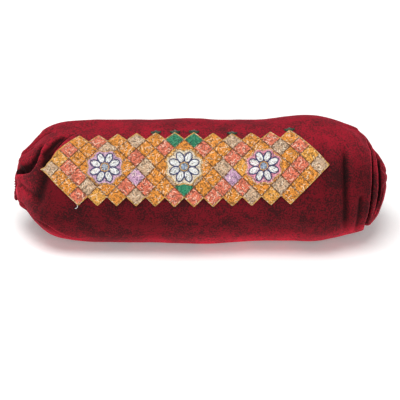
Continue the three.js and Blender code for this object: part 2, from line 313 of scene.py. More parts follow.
def besideRoute(points, normals, places):  # where each point lies along and beside a route
    distance = np.full(len(points), np.inf)
    share = np.zeros(len(points))
    side = np.zeros(len(points))
    leftward = np.zeros_like(points)
    for n in range(len(places) - 1):
        start, run = places[n], places[n + 1] - places[n]
        t = np.clip((points - start) @ run / max(run @ run, 1e-12), 0, 1)
        gap = points - (start + t[:, None] * run)
        here = np.linalg.norm(gap, axis=1)
        closer = here < distance
        distance[closer] = here[closer]
        share[closer] = (n + t[closer]) / (len(places) - 1)
        left = np.cross(normals, run)
        side[closer] = np.sign(np.einsum("ij,ij->i", left, gap))[closer]
        leftward[closer] = left[closer]
    leftward /= np.maximum(np.linalg.norm(leftward, axis=1, keepdims=True), 1e-12)
    return distance, share, side, leftward


def foldMoves(points, normals, widen=1.0, lips=True):  # how the folds move the cloth, in metres
    tuck, swell, radialMove, creaseShade, glow = np.zeros((5, len(points)))
    slide = np.zeros_like(points)
    edge = cloth["creaseEdge"] * mm * widen
    for fold in folds:
        route = foldRoute(fold["route"])
        places = smoothTube(rowAt(route[:, 0]), np.radians(route[:, 1]))
        wide = fold["wide"] * mm * widen
        lip = fold.get("lip", 0) * mm
        lipWide = fold.get("lipWide", fold["wide"]) * mm * widen
        margin = 4 * max(wide, lipWide)  # a fold moves nothing further off
        near = np.all((points > places.min(0) - margin) & (points < places.max(0) + margin), axis=1)
        if not near.any():
            continue
        distance, share, side, leftward = besideRoute(points[near], normals[near], places)
        fade = 1 - smoothStep(share, fold.get("fadeFrom", cloth["fadeFrom"]), 1)
        if not fold.get("open"):
            fade = fade * smoothStep(share, 0, fold.get("fadeIn", cloth["fadeIn"]))
        valley = fade * np.exp(-(distance / wide) ** 2)
        if lip and lips:
            across = distance * side
            step = across / np.sqrt(across ** 2 + edge ** 2)
            roll = fade * 0.5 * (1 - step) * np.exp(-(distance / lipWide) ** cloth["lipPower"])
            valley = 0.5 * (1 + step) * valley
            raised = radialMove if fold.get("radial") else swell
            raised[near] += lip * roll
            over = fold.get("over", 0) * mm * (roll - cloth["undercut"] * valley)
            slide[near] += leftward * over[:, None]
            # painted highlight along the crest of the lip
            crestHighlight = fade * np.exp(-(across / mm + cloth["crestAt"]) ** 2 / cloth["crestSpread"])
            glow[near] = np.maximum(glow[near], crestHighlight)
        if fold.get("radial"):
            radialMove[near] -= fold["deep"] * mm * valley
        else:
            tuck[near] += fold["deep"] * mm * valley
        # painted shade in the fold, by its depth and its shade
        creaseShade[near] += fold["deep"] * fold.get("shade", 1) * valley
    most = cloth["deepest"] * mm
    return swell - most * (1 - np.exp(-tuck / most)), radialMove, slide, creaseShade, glow


def dentDepth(points):
    total = np.zeros(len(points))
    for size, deep in cloth["dents"]:
        scaled = points / (size * mm) + size
        total += deep * mm * np.array([noise.noise(Vector(p)) for p in scaled])
    return total


def paintedLightTone(rows, turns, depth, glow):  # painted light and shade on the pile: lighter on top, painted highlight at the lower rim, the ends and lip crests, painted shade on the lower front, in the folds and on the closed end above its middle
    around = (np.degrees(turns) + 90) % 360 - 90
    rise = np.sin(turns)
    share = throughTable(0, rows)
    low = np.interp(share, paintedLight["along"], paintedLight["lowTones"])
    high = np.interp(share, paintedLight["along"], paintedLight["highTones"])
    tone = np.interp(around, paintedLight["turns"], paintedLight["tones"])
    tone *= low + (high - low) * smoothStep(rise, *paintedLight["highFrom"])
    shaded = smoothStep(share, *paintedLight["endShadeAlong"]) * smoothStep(rise, *paintedLight["endShadeRise"])
    shaded += (paintedLight["endMiddleShade"] - shaded) * smoothStep(share, *paintedLight["endMiddle"])
    endTone = np.interp(share, paintedLight["ends"], paintedLight["endTones"])
    tone = np.maximum(tone, endTone * (1 - paintedLight["endShade"] * shaded))
    creaseShade = smoothStep(depth, *paintedLight["creaseShadeBy"])
    return tone * (1 - paintedLight["creaseShade"] * creaseShade) + paintedLight["crestHighlight"] * glow


def clothSurface(rows, turns, inward=0.0, widen=1.0, lips=True, dents=True):
    base = smoothTube(rows, turns)
    normals = outward(rows, turns)
    moved, radialMove, slide, creaseShade, glow = foldMoves(base, normals, widen, lips)
    fromRim = np.hypot(base[:, 1] - axisY, base[:, 2] - hemHeight) - hemRadius
    free = smoothStep(np.hypot(base[:, 0] - mouthX, fromRim), 0, cloth["mouthHold"] * mm)
    if dents:
        moved = moved + dentDepth(base)
    radial = base - np.stack([base[:, 0], np.full(len(base), axisY), tubeMiddle(rows)], axis=1)
    girth = np.linalg.norm(radial, axis=1)
    radial /= np.maximum(girth, 1e-9)[:, None]
    radialMove = np.clip(radialMove, -cloth["deepestRadial"] * girth, cloth["deepestRadial"] * girth)
    points = base + normals * (moved * free - inward)[:, None]
    points += (radial * radialMove[:, None] + slide) * free[:, None]
    mouthEnd = base[:, 0] < mouthX + cloth["flatMouth"] * mm
    points[mouthEnd, 0] = np.maximum(points[mouthEnd, 0], base[mouthEnd, 0] - cloth["mouthBulge"] * mm)
    points[:, 2] = restOn(points[:, 2], inward)
    return points, paintedLightTone(rows, turns, creaseShade, glow)


def stationRows():  # rows of the table where the mesh has rings, closer at the gathered ends
    along = fineAlong * tube["length"]
    radius = throughTable(1, fineRows) * tube["height"] / 2
    run = np.hypot(np.diff(along), np.diff(radius))
    share = fineAlong[1:]
    fine = (share < cloth["fineEnds"][0]) | (share > cloth["fineEnds"][1])
    spacing = np.where(fine, cloth["endRing"], cloth["middleRing"]) * mm
    count = np.concatenate([[0], np.cumsum(run / spacing)])
    return np.interp(np.linspace(0, count[-1], int(count[-1]) + 1), count, fineRows)


def clothShell(bm, rows, **settings):  # wraps a flat grid round the bag
    facets = cloth["facetsRound"]
    made = bmesh.ops.create_grid(bm, x_segments=len(rows) - 1, y_segments=facets, size=1)["verts"]
    flat = np.array([vert.co for vert in made])
    station = np.rint((flat[:, 0] + 1) / 2 * (len(rows) - 1)).astype(int)
    turn = np.rint((flat[:, 1] + 1) / 2 * facets).astype(int) % facets
    points, tones = clothSurface(rows[station], turn * 2 * math.pi / facets, **settings)
    # each vertex carries its painted light and shade
    layer = bm.verts.layers.float["paintedLight"]
    for vert, point, tone in zip(made, points, tones):
        vert.co = point
        vert[layer] = tone
    bmesh.ops.remove_doubles(bm, verts=made, dist=weldWithin)


def velvetShell():
    bm = bmesh.new()
    bm.verts.layers.float.new("paintedLight")
    clothShell(bm, stationRows())
    bmesh.ops.recalc_face_normals(bm, faces=bm.faces)
    outer = set(bm.faces)
    liningRows = np.linspace(0, lastRow, cloth["liningRings"])
    clothShell(bm, liningRows, inward=tube["wall"], widen=cloth["liningWiden"], lips=False, dents=False)
    lining = [face for face in bm.faces if face not in outer]
    bmesh.ops.recalc_face_normals(bm, faces=lining)
    bmesh.ops.reverse_faces(bm, faces=lining)
    bmesh.ops.bridge_loops(bm, edges=[edge for edge in bm.edges if edge.is_boundary])
    return bm


print("cloth")
velvetLook = {
    "patch": 38,  # millimetres across one patch of brushed nap
    "grain": 1.9,  # the pile's tufts are finer, and are drawn as coarse as shows
    "grainShare": 1.15,  # how strongly the grain counts beside the patches
    "napRange": (0.945, 1.2),  # grain and patches together, from the dark nap to the light
    "darkNap": "#46161a",
    "lightNap": "#8a1424",
    "sheen": 0.75,
    "sheenTint": "#e0304c",
    "pileDeep": 0.5,
}


def cottonVelvet(name, look):  # woven cotton pile: dark head on, bright crimson at a slant
    material, tree, shader = newMaterial(name, {
        "Roughness": 0.85, "Sheen Roughness": 0.32,
        "Sheen Tint": linearColour(look["sheenTint"]), "Specular IOR Level": 0.12})
    place = addNode(tree, "ShaderNodeTexCoord").outputs["Object"]
    patches = addNode(tree, "ShaderNodeTexNoise", {
        "Vector": place, "Scale": 1 / (look["patch"] * mm), "Detail": 4.0, "Roughness": 0.72})
    grain = addNode(tree, "ShaderNodeTexNoise", {
        "Vector": place, "Scale": 1 / (look["grain"] * mm), "Detail": 2.0, "Roughness": 0.6})
    mixed = addNode(tree, "ShaderNodeMath", {
        0: grain.outputs["Fac"], 1: look["grainShare"], 2: patches.outputs["Fac"]}, operation="MULTIPLY_ADD")
    span = addNode(tree, "ShaderNodeMapRange", {
        "Value": mixed.outputs[0], "From Min": look["napRange"][0], "From Max": look["napRange"][1]})
    colour = addNode(tree, "ShaderNodeMix", {
        0: span.outputs["Result"], 6: linearColour(look["darkNap"]),
        7: linearColour(look["lightNap"])}, data_type="RGBA")
    # the base colour and the sheen weight are scaled by the painted light and shade stored on the mesh
    paintedTone = addNode(tree, "ShaderNodeAttribute", attribute_name="paintedLight").outputs["Fac"]
    toned = addNode(tree, "ShaderNodeVectorMath", {0: colour.outputs[2], "Scale": paintedTone}, operation="SCALE")
    tree.links.new(toned.outputs[0], shader.inputs["Base Color"])
    gloss = addNode(tree, "ShaderNodeMath", {0: paintedTone, 1: look["sheen"]}, operation="MULTIPLY", use_clamp=True)
    tree.links.new(gloss.outputs[0], shader.inputs["Sheen Weight"])
    bump = addNode(tree, "ShaderNodeBump", {
        "Height": grain.outputs["Fac"], "Strength": 0.55, "Distance": look["pileDeep"] * mm})
    tree.links.new(bump.outputs["Normal"], shader.inputs["Normal"])
    return material


velvet = cottonVelvet("cottonVelvet", velvetLook)
velvetBody = finishPiece(velvetShell(), "velvetBody", velvet)
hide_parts("velvet_body")


# the gathered hem round the mouth, in millimetres and degrees
hem = {
    "length": 4.6, "wall": 7.0, "plump": 0.9, "inset": 0.2, "tuckIn": 1.2,
    "facets": 240, "roll": 20,
    "squareness": 0.75,  # below 1 the roll's ends are flatter
    "lean": 0.5, "leanTurn": 225,  # the far side of the mouth reaches out further than the near side
    "taper": 4.4, "sag": 1.4,
    "drop": 0.8, "outerDrop": 3.0,
    "pleatWide": 5.0, "pleatDeep": 2.6, "pleatLong": 2.0, "pleatSizes": (0.35, 1),
    "frontPleats": [60, 36, 16, -10, -34], "frontPleatSize": 0.25,
    "wander": 1.0, "wanderLength": 0.16, "wanderScale": 1.7, "wanderPlace": 0.3,  # uneven sewing
    "paintedNearShade": 0.45, "nearTurns": (30, 75),  # painted shade on the near side of the mouth
    # painted highlight along the free edge of the roll, and painted shade in its pleats
    "paintedEdgeHighlight": 0.7, "pleatShade": 0.6,
}


def hemVertex(turn, roll, pleats):  # place and painted tone, for a turn round the mouth and one round the roll: painted shade on the near side and in the pleats, painted highlight at the free edge
    pleat = 0
    for at, size in pleats:
        off = (turn - at + 180) % 360 - 180
        pleat = max(pleat, size * math.exp(-(off / hem["pleatWide"]) ** 2))
    angle = math.radians(turn)
    middle = np.array([mouthX, axisY, hemHeight])
    radial = smoothTube(np.array([0.0]), np.array([angle]))[0] - middle
    radius = np.linalg.norm(radial)
    drift = noise.noise(Vector((math.cos(angle), math.sin(angle), hem["wanderPlace"])) * hem["wanderScale"])
    facing = 0.5 + 0.5 * math.cos(roll)
    bulge = (hem["wall"] / 2 + hem["plump"] - hem["pleatDeep"] * pleat * facing) * mm
    square = math.copysign(abs(math.sin(roll)) ** hem["squareness"], math.sin(roll))
    outer = (1 - square) / 2  # 0 at the bag and 1 at the free edge
    away = radius - (hem["inset"] - drift * hem["wander"] + hem["taper"] * outer) * mm
    away += bulge * math.cos(roll)
    away -= hem["sag"] * mm * math.sin(angle) * (0.5 + 0.5 * outer)
    point = middle + radial / radius * away
    lean = 1 + hem["lean"] * math.cos(math.radians(turn - hem["leanTurn"]))
    length = hem["length"] * lean * (1 - hem["wanderLength"] * abs(drift)) - hem["pleatLong"] * pleat
    point[0] = mouthX + (hem["tuckIn"] - length * outer) * mm
    point[2] -= (hem["drop"] + hem["outerDrop"] * outer) * mm
    fromFront = smoothStep(abs((turn + 180) % 360 - 180), *hem["nearTurns"])
    tone = hem["paintedNearShade"] + (1 - hem["paintedNearShade"]) * fromFront + hem["paintedEdgeHighlight"] * outer ** 4
    return point, tone * (1 - hem["pleatShade"] * pleat)


def mouthHem():
    bm = bmesh.new()
    layer = bm.verts.layers.float.new("paintedLight")
    facets, rounds = hem["facets"], hem["roll"]
    made = bmesh.ops.create_grid(bm, x_segments=facets, y_segments=rounds, size=1)["verts"]
    pleats = [(gather[0], 1) for gather in gathers]
    pleats += [(turn, hem["frontPleatSize"]) for turn in hem["frontPleats"]]
    pleats = [(turn, chance.uniform(*hem["pleatSizes"]) * size) for turn, size in pleats]
    for vert in made:
        turn = round((vert.co.x + 1) / 2 * facets) % facets * 360 / facets
        roll = round((vert.co.y + 1) / 2 * rounds) % rounds * 2 * math.pi / rounds
        vert.co, vert[layer] = hemVertex(turn, roll, pleats)
    bmesh.ops.remove_doubles(bm, verts=bm.verts, dist=weldWithin)
    bmesh.ops.recalc_face_normals(bm, faces=bm.faces)
    return bm


mouthRoll = finishPiece(mouthHem(), "mouthHem", velvet)
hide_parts("mouth_casing")


# Needlework is made flat, in millimetres along the band, up it and out of it, and then laid
# on the velvet of the bag's front.

print("front of the bag")
band = {
    "length": 344, "height": 96, "centre": -21, "turn": 42,
    "columns": 15, "rows": 4,
    "gap": 0.35, "thick": 1.1,
    "backing": 0.55, "backingShade": 0.7,  # shares of the thickness and of the thread's brightness
    "patch": (184.0, 62.0),  # half the length and height of the velvet that is measured for it
    "search": 30,  # how far off the smooth tube the velvet is looked for
    "stiffness": 12,  # rounds of easing, because stitched cloth bridges the small dents
}
halfWide = band["length"] / band["columns"] / 2
halfHigh = band["height"] / band["rows"] / 2
meanRadius = (tube["depth"] + tube["height"]) / 4 / mm


def frontGrid():  # where the velvet's face is, for each millimetre along and up the patch
    p, q = np.meshgrid(*[np.arange(-half, half + 1) for half in band["patch"]], indexing="ij")
    along = 0.5 + (band["centre"] + p) * mm / tube["length"]
    turns = math.radians(band["turn"]) + q / meanRadius
    rows = rowAt(along)
    base = smoothTube(rows.ravel(), turns.ravel())
    normals = outward(rows.ravel(), turns.ravel())
    bm = bmesh.new()
    bm.from_mesh(velvetBody.data)
    tree = BVHTree.FromBMesh(bm)
    bm.free()
    reach = band["search"] * mm
    depth = np.zeros(len(base))
    for n, (point, normal) in enumerate(zip(base, normals)):
        hit = tree.ray_cast(Vector(point + normal * reach), -Vector(normal), 2 * reach)
        depth[n] = reach - hit[3] if hit[0] else 0
    depth = depth.reshape(p.shape)
    eased = depth.copy()
    for _ in range(band["stiffness"]):
        eased[1:-1, 1:-1] = (eased[:-2, 1:-1] + eased[2:, 1:-1] + eased[1:-1, :-2] + eased[1:-1, 2:]) / 4
        eased = np.maximum(eased, depth)
    return base.reshape(*p.shape, 3), normals.reshape(*p.shape, 3), eased


frontBase, frontNormal, frontDepth = frontGrid()


def layOnFront(flat):
    flat = np.asarray(flat, float)
    place = np.clip(flat[:, :2] + band["patch"], 0, np.array(frontDepth.shape) - 1.001)
    low = place.astype(int)
    t = place - low
    i, j = low[:, 0], low[:, 1]

    def between(grid):  # the value between the grid's four nearest places
        a, b = t[:, 0], t[:, 1]
        if grid.ndim == 3:
            a, b = a[:, None], b[:, None]
        lower = grid[i, j] * (1 - a) + grid[i + 1, j] * a
        upper = grid[i, j + 1] * (1 - a) + grid[i + 1, j + 1] * a
        return lower * (1 - b) + upper * b

    normal = between(frontNormal)
    normal = normal / np.linalg.norm(normal, axis=1, keepdims=True)
    out = between(frontDepth) + flat[:, 2] * mm
    return between(frontBase) + normal * out[:, None]


def layPiece(bm):
    for vert, point in zip(bm.verts, layOnFront([vert.co for vert in bm.verts])):
        vert.co = point


def thicken(bm):  # gives flat cloth a second face, and returns the vertices of the upper one
    bmesh.ops.recalc_face_normals(bm, faces=bm.faces)
    if next(iter(bm.faces)).normal.z < 0:
        bmesh.ops.reverse_faces(bm, faces=bm.faces)
    bmesh.ops.solidify(bm, geom=bm.faces, thickness=0.5)
    top = max(vert.co.z for vert in bm.verts)
    return {vert for vert in bm.verts if vert.co.z > top - 0.1}


threads = {
    "o": "#eb9a38", "y": "#f2ae4c", "c": "#e98060", "b": "#d6b493", "w": "#f0f1ee",
    "l": "#d6abc8", "p": "#f09db0", "g": "#2f9069", "d": "#153c24", "n": "#303668",
    "s": "#8f9fb4", "k": "#f3dfc6", "G": "#d3a04c", "t": "#7d4f27",
}
threadLook = {
    "strand": 0.45,  # millimetres across one twisted strand
    "tone": 1.05, "spread": 0.22,
    "glints": 0.16, "shadows": 0.18,  # shares of the stitches that catch the light or lie in shade
    "glint": "#fff3dc", "glintShare": 0.48, "darkGlintShare": 0.06, "darkThreads": "dgn",
    "shadowTone": 0.45,
}


def rayonThread(name, roughness, bumpDeep):  # twisted rayon: soft gloss along each stitch
    material, tree, shader = newMaterial(name, {
        "Roughness": roughness, "Sheen Weight": 0.25, "Sheen Roughness": 0.4, "Specular IOR Level": 0.35})
    colour = addNode(tree, "ShaderNodeAttribute", attribute_name="thread")
    tree.links.new(colour.outputs["Color"], shader.inputs["Base Color"])
    place = addNode(tree, "ShaderNodeTexCoord").outputs["Object"]
    strands = addNode(tree, "ShaderNodeTexNoise", {
        "Vector": place, "Scale": 1 / (threadLook["strand"] * mm), "Detail": 2.0})
    bump = addNode(tree, "ShaderNodeBump", {
        "Height": strands.outputs["Fac"], "Strength": 0.5, "Distance": bumpDeep * mm})
    tree.links.new(bump.outputs["Normal"], shader.inputs["Normal"])
    return material


thread = rayonThread("rayonThread", 0.5, 0.12)
backing = rayonThread("stitchedBacking", 0.85, 0.3)  # packed under-stitches: matt and uneven
stitch = {"facets": (4, 3), "shoulder": 0.34, "tip": 0.45, "droop": 1.2}


def stitchShape():  # one raised stitch of length, width and height 1, from end to end along x
    bm = bmesh.new()
    across, along = stitch["facets"]
    lying = Matrix.Rotation(math.pi / 2, 4, "Y")
    bmesh.ops.create_uvsphere(bm, u_segments=across, v_segments=along, radius=0.5, matrix=lying)
    bmesh.ops.recalc_face_normals(bm, faces=bm.faces)
    bm.verts.index_update()
    points = np.array([vert.co for vert in bm.verts])
    ring = np.abs(points[:, 0]) < stitch["tip"]
    points[ring, 0] = np.sign(points[ring, 0]) * stitch["shoulder"]
    corners = [[vert.index for vert in face.verts] for face in bm.faces]
    bm.free()
    return points, corners


def stitchedPiece(name, stitches):  # one mesh of many stitches
    shape, corners = stitchShape()
    p, q, h, angle, length, width, height = np.array([each[:7] for each in stitches]).T[:, :, None]
    x, y, z = shape.T
    flat = np.empty((len(stitches), len(shape), 3))
    flat[:, :, 0] = p + np.cos(angle) * length * x - np.sin(angle) * width * y
    flat[:, :, 1] = q + np.sin(angle) * length * x + np.cos(angle) * width * y
    flat[:, :, 2] = h + height * z - height * stitch["droop"] * (np.abs(x) > stitch["tip"])
    points = layOnFront(flat.reshape(-1, 3))
    faces = [[corner + n * len(shape) for corner in face] for n in range(len(stitches)) for face in corners]
    mesh = bpy.data.meshes.new(name)
    mesh.from_pydata(points.tolist(), [], faces)
    colours = np.repeat(np.array([each[7] for each in stitches]), len(shape), axis=0)
    layer = mesh.color_attributes.new("thread", "FLOAT_COLOR", "POINT")
    layer.data.foreach_set("color", colours.astype(np.float32).ravel())
    dressMesh(mesh, name, thread)


def threadTone(letter, spread=threadLook["spread"]):  # each stitch takes the light a little differently
    colour = linearColour(threads[letter])[:3]
    tone = threadLook["tone"] + chance.uniform(-spread, spread)
    pick = chance.random()
    if pick < threadLook["glints"]:
        shine = threadLook["darkGlintShare" if letter in threadLook["darkThreads"] else "glintShare"]
        glint = linearColour(threadLook["glint"])
        colour = [part * (1 - shine) + bright * shine for part, bright in zip(colour, glint)]
    elif pick < threadLook["glints"] + threadLook["shadows"]:
        tone *= threadLook["shadowTone"]
    return tuple(min(part * tone, 1) for part in colour) + (1.0,)


def shadedThread(letter, shade):  # for the under-stitches, which lie in the shade of the top ones
    return tuple(part * shade for part in linearColour(threads[letter])[:3]) + (1.0,)


# the band of diamonds, with one letter for each diamond's thread, from the top line down
chart = [
    "ocoboggoboco",
    "coboocococobc",
    "yococoyoococoy",
    "bcoyobocobyoocb",
    "ocoolobbolooco",
    "oboccogoccobo",
    "cyobocccobyoc",
]


def diamondList():  # centre and thread letter of each diamond
    diamonds = []
    lines = len(chart)
    for line, letters in enumerate(chart):
        q = ((lines - 1) / 2 - line) * halfHigh
        count = band["columns"] - abs(line - (lines - 1) // 2)
        for n in range(count):
            diamonds.append(((n - (count - 1) / 2) * 2 * halfWide, q, letters[n]))
    return diamonds


diamonds = diamondList()


def diamondAt(point):
    return min(diamonds, key=lambda d: abs(point.x - d[0]) / halfWide + abs(point.y - d[1]) / halfHigh)


def bandBacking():
    bm = bmesh.new()
    for p, q, letter in diamonds:
        lean = Matrix((
            (halfWide / 2, halfWide / 2, 0, p), (-halfHigh / 2, halfHigh / 2, 0, q),
            (0, 0, 1, 0), (0, 0, 0, 1)))
        bmesh.ops.create_grid(bm, x_segments=4, y_segments=4, size=1, matrix=lean)
    bmesh.ops.remove_doubles(bm, verts=bm.verts, dist=0.05)
    upper = thicken(bm)
    layer = bm.loops.layers.float_color.new("thread")
    for face in bm.faces:
        colour = shadedThread(diamondAt(face.calc_center_median())[2], band["backingShade"])
        for loop in face.loops:
            loop[layer] = colour
    for vert in bm.verts:
        vert.co.z = band["gap"] + (band["thick"] * band["backing"] if vert in upper else 0)
    layPiece(bm)
    return bm


print("embroidery")
embroideryBacking = finishPiece(bandBacking(), "embroideryBacking", backing)
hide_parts("embroidered_band")

rosettes = {
    "radius": 23.5, "spacing": 94.3, "petals": 8, "notch": 0.12, "thick": 1.0,
    "seat": 0.35,  # above the band
    "overlap": 1.5,  # how far the band's stitches run in under a rosette
    "rings": 6, "facets": 64,
    "rim": 0.45, "dome": 0.5, "shade": 0.6,  # the disc's height at its rim, what its middle adds
    "grounds": ("l", "k", "p"),  # threads round the petals, from the left
    "stitchSeat": 0.75, "stitchWide": 1.05, "stitchHigh": 0.75,
    "step": 1.5, "rowStep": 0.9, "jitter": 0.35, "edge": 1.6,
    "groundFrom": 1.2, "groundLong": 3.0, "groundLift": -0.1,
    "petalAt": 12.2, "petalLong": 6.4, "petalWide": 4.0, "petalTo": 0.8,
    "petalStitch": 3.6, "petalTurn": 0.5, "petalLift": 0.25,
    "spokes": 20, "spokeAt": 2.5, "spokeLong": 4.4, "spokeLift": 0.3,
    "knots": 6, "knotAt": 0.7, "knotLong": 2.2, "knotTurn": 0.5, "knotLift": 0.45,
    "eye": 4.8, "eyeCordAt": 5.0, "eyeCordLift": 0.3,
    "petalCordAt": 0.2, "petalCordLift": 0.35, "petalCordWide": 0.95, "petalCordStep": 1.15,
    "rimCordAt": 0.9, "rimCordLift": 0.1, "rimCordWide": 1.3, "rimCordStep": 1.1,
}
rosetteCentres = [-rosettes["spacing"], 0.0, rosettes["spacing"]]
rosetteLow = band["gap"] + band["thick"] + rosettes["seat"]

needle = {
    "length": 4.9, "width": 1.35, "height": 0.95, "spacing": 1.95, "rowStep": 0.88, "jitter": 0.5,
    "lengths": (0.7, 1.15), "widths": (0.85, 1.15), "lifts": (-0.12, 0.2),
    "margin": 0.075,  # share of a diamond that its edge cord covers
    "atEdge": 0.45, "rise": 2.2,  # stitches shorten, and their pillow sinks, towards the edge
    "pillow": 0.55, "seat": 0.72, "clear": 2,
}

cord = {
    "stitch": 2.4, "width": 1.0, "height": 0.9, "spacing": 1.05, "slant": 0.55, "spread": 0.12,
    "inner": ("t", 0.8), "outer": ("G", 1.0),  # thread and width between and round the diamonds
    "lift": 0.2, "clear": 1.5,
}


def underRosette(p, q, margin):
    covered = rosettes["radius"] - rosettes["overlap"] - margin
    return any(math.hypot(p - centre, q) < covered for centre in rosetteCentres)


def scatter(reach, step, rowStep, jitter):  # staggered places in rows, each a little off its own
    for i in range(-reach, reach + 1):
        for j in range(-reach, reach + 1):
            p = (i + 0.5 * (j % 2)) * step + chance.uniform(-jitter, jitter)
            yield p, j * step * rowStep + chance.uniform(-jitter, jitter)


def diamondStitches():
    stitches = []
    for p0, q0, letter in diamonds:
        for p, q in scatter(8, needle["spacing"], needle["rowStep"], needle["jitter"]):
            inside = 1 - abs(p) / halfWide - abs(q) / halfHigh
            if inside < needle["margin"] or underRosette(p0 + p, q0 + q, needle["clear"]):
                continue
            shorten = min(1, needle["atEdge"] + needle["rise"] * inside)
            length = needle["length"] * chance.uniform(*needle["lengths"]) * shorten
            pillow = needle["pillow"] * min(1, needle["rise"] * inside)
            h = band["gap"] + band["thick"] * needle["seat"] + pillow + chance.uniform(*needle["lifts"])
            angle = chance.uniform(0, math.pi)
            width = needle["width"] * chance.uniform(*needle["widths"])
            stitches.append((p0 + p, q0 + q, h, angle, length, width, needle["height"], threadTone(letter)))
    return stitches


def cordAlong(line, letter, h, width=cord["width"], spacing=cord["spacing"]):  # slanted stitches over a line
    stitches = []
    for (p0, q0), (p1, q1) in zip(line, line[1:]):
        count = max(1, round(math.hypot(p1 - p0, q1 - q0) / spacing))
        angle = math.atan2(q1 - q0, p1 - p0) + cord["slant"]
        for n in range(count):
            t = (n + 0.5) / count
            stitches.append((p0 + (p1 - p0) * t, q0 + (q1 - q0) * t, h, angle,
                             cord["stitch"], width, cord["height"], threadTone(letter, cord["spread"])))
    return stitches


def outlineStitches():  # gold thread round the band, fine brown thread between the diamonds
    shared = {}
    for p, q, letter in diamonds:
        corners = [(p - halfWide, q), (p, q - halfHigh), (p + halfWide, q), (p, q + halfHigh)]
        corners = [(round(x, 3), round(y, 3)) for x, y in corners]
        for ends in zip(corners, corners[1:] + corners[:1]):
            edge = tuple(sorted(ends))
            shared[edge] = shared.get(edge, 0) + 1
    stitches = []
    for edge in sorted(shared):
        letter, width = cord["inner" if shared[edge] == 2 else "outer"]
        line = cordAlong(edge, letter, band["gap"] + band["thick"] + cord["lift"], width)
        stitches += [each for each in line if not underRosette(each[0], each[1], cord["clear"])]
    return stitches


stitchedPiece("diamondStitches", diamondStitches())
stitchedPiece("diamondOutlines", outlineStitches())

sprigs = {
    "places": [(-34.4, 47), (-11.5, 47), (11.5, 47), (57.3, 47), (126.1, 47)],
    "leaf": 8.6, "spread": 0.8, "lift": 0.35,
    "reach": 0.6, "sideReach": 0.1, "sideGap": 1.2, "sideTurn": 0.2, "sideShorter": 0.25,
    "width": 1.8, "height": 1.2, "toneSpread": 0.4,
}
looseThread = {
    "line": [(-126.1, -46.8), (-127.3, -48.9), (-126.9, -51.0), (-128.2, -52.8), (-130.2, -53.4)],
    "thick": 0.9, "lift": 0.3, "overlap": 1.3,
}


def sprigStitches():  # three small leaves on some of the upper points
    stitches = []
    for p, q in sprigs["places"]:
        for lean in (-sprigs["spread"], 0, sprigs["spread"]):
            angle = math.pi / 2 + lean
            for side in (-1, 0, 1):
                along = sprigs["leaf"] * (sprigs["reach"] - sprigs["sideReach"] * abs(side))
                beside = side * sprigs["sideGap"]
                stitches.append((
                    p + along * math.cos(angle) - beside * math.sin(angle),
                    q + along * math.sin(angle) + beside * math.cos(angle),
                    band["gap"] + sprigs["lift"], angle + sprigs["sideTurn"] * side,
                    sprigs["leaf"] * (1 - sprigs["sideShorter"] * abs(side)),
                    sprigs["width"], sprigs["height"], threadTone("d", sprigs["toneSpread"])))
    return stitches


def looseEnd():  # a snipped end of white thread at the lower left point
    stitches = []
    for (p0, q0), (p1, q1) in zip(looseThread["line"], looseThread["line"][1:]):
        run = math.hypot(p1 - p0, q1 - q0) * looseThread["overlap"]
        stitches.append((
            (p0 + p1) / 2, (q0 + q1) / 2, band["gap"] + looseThread["lift"], math.atan2(q1 - q0, p1 - p0),
            run, looseThread["thick"], looseThread["thick"], linearColour(threads["w"])))
    return stitches


stitchedPiece("leafSprigs", sprigStitches() + looseEnd())


# the three rosettes

def rosetteEdge(angle):  # how far out the rosette's lobed edge is
    lobes = 1 - rosettes["notch"] * math.cos(rosettes["petals"] * angle / 2) ** 2
    return rosettes["radius"] * lobes


def rosetteBacking(centre, letter):
    bm = bmesh.new()
    bmesh.ops.create_circle(bm, cap_ends=True, segments=rosettes["facets"], radius=1)
    disc = next(iter(bm.faces))
    for ring in range(rosettes["rings"] - 1):
        bmesh.ops.inset_region(bm, faces=[disc], thickness=1 / rosettes["rings"])
    bmesh.ops.poke(bm, faces=[disc])
    upper = thicken(bm)
    layer = bm.loops.layers.float_color.new("thread")
    colour = shadedThread(letter, rosettes["shade"])
    for face in bm.faces:
        for loop in face.loops:
            loop[layer] = colour
    for vert in bm.verts:
        reach = rosetteEdge(math.atan2(vert.co.y, vert.co.x))
        height = rosetteLow
        if vert in upper:
            radius = math.hypot(vert.co.x, vert.co.y)
            height += rosettes["thick"] * (rosettes["rim"] + rosettes["dome"] * (1 - radius ** 4))
        vert.co = (centre + vert.co.x * reach, vert.co.y * reach, height)
    layPiece(bm)
    return bm


def inPetal(r, off):  # below 1 inside a petal, where off is the angle from its middle line
    along = (r - rosettes["petalAt"]) / rosettes["petalLong"]
    side = r * math.sin(off) / rosettes["petalWide"]
    return along ** 2 + side ** 2


def petalLine(centre, middle):  # round one petal, a little outside it
    line = []
    for a in np.linspace(0, 2 * math.pi, 21):
        along = rosettes["petalAt"] + (rosettes["petalLong"] + rosettes["petalCordAt"]) * math.cos(a)
        side = (rosettes["petalWide"] + rosettes["petalCordAt"]) * math.sin(a)
        line.append((centre + along * math.cos(middle) - side * math.sin(middle),
                     along * math.sin(middle) + side * math.cos(middle)))
    return line


